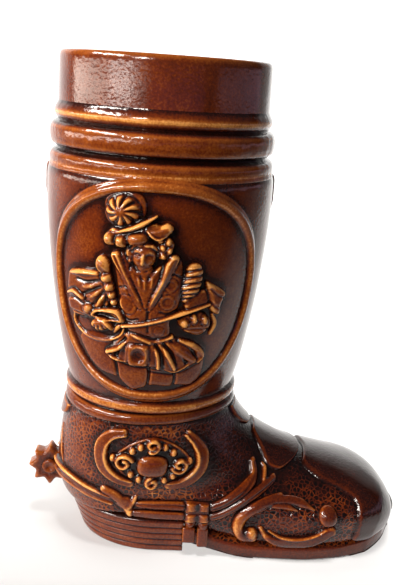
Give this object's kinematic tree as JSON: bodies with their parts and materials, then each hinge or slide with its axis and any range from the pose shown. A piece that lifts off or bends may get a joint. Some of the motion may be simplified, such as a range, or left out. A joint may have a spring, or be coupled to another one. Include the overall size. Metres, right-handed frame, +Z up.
{
  "type": "ceramic boot stein",
  "caption": "Hollow glazed ceramic drinking stein shaped as a riding boot, with a ringed cuff, a framed lute player in relief, a buckle, spur straps, scrolls and a stacked heel.",
  "frame": {"origin": "centre of the bounding box in plan, on the surface that the stein stands on", "axes": "+X from heel to toe, +Y to the boot's left side, +Z up to the rim"},
  "size_m": [0.184, 0.1114, 0.225],
  "materials": {
    "brown_glaze": "glossy reddish-brown flow glaze over stoneware",
    "honey_glaze": "glossy glaze run thin to honey on raised relief",
    "dark_glaze": "glossy glaze pooled dark in a recess"
  },
  "bodies": {
    "root": {"leg": "brown_glaze", "cuff": "brown_glaze", "foot": "brown_glaze", "heel_stack": "brown_glaze", "outsole": "brown_glaze", "cuff_ring_lower": "honey_glaze", "cuff_ring_middle": "honey_glaze", "cuff_ring_upper": "honey_glaze", "ankle_ring_upper": "honey_glaze", "ankle_ring_lower": "honey_glaze", "front_gusset_bar": "brown_glaze", "rear_gusset_bar": "brown_glaze", "front_tongue": "brown_glaze", "rear_tongue": "brown_glaze", "spur_leather": "brown_glaze", "toe_cap": "brown_glaze", "rowel": "honey_glaze", "right_panel_frame": "honey_glaze", "left_panel_frame": "honey_glaze", "right_lute_player": "honey_glaze", "left_lute_player": "honey_glaze", "right_rowel_hub": "honey_glaze", "left_rowel_hub": "honey_glaze", "right_buckle_plate": "dark_glaze", "left_buckle_plate": "dark_glaze", "right_buckle_stone": "brown_glaze", "left_buckle_stone": "brown_glaze", "right_buckle_rear_horn": "honey_glaze", "left_buckle_rear_horn": "honey_glaze", "right_buckle_front_horn": "honey_glaze", "left_buckle_front_horn": "honey_glaze", "right_back_seam": "honey_glaze", "left_back_seam": "honey_glaze", "right_spur_band": "brown_glaze", "left_spur_band": "brown_glaze", "right_spur_stud": "brown_glaze", "left_spur_stud": "brown_glaze", "right_upper_strap": "brown_glaze", "left_upper_strap": "brown_glaze", "right_lower_strap": "brown_glaze", "left_lower_strap": "brown_glaze", "right_strap_keeper": "brown_glaze", "left_strap_keeper": "brown_glaze", "right_upper_strand": "brown_glaze", "left_upper_strand": "brown_glaze", "right_lower_strand": "brown_glaze", "left_lower_strand": "brown_glaze", "right_upper_scroll": "honey_glaze", "left_upper_scroll": "honey_glaze", "right_lower_scroll": "honey_glaze", "left_lower_scroll": "honey_glaze", "right_scroll_ball": "honey_glaze", "left_scroll_ball": "honey_glaze"}
  },
  "joints": []
}
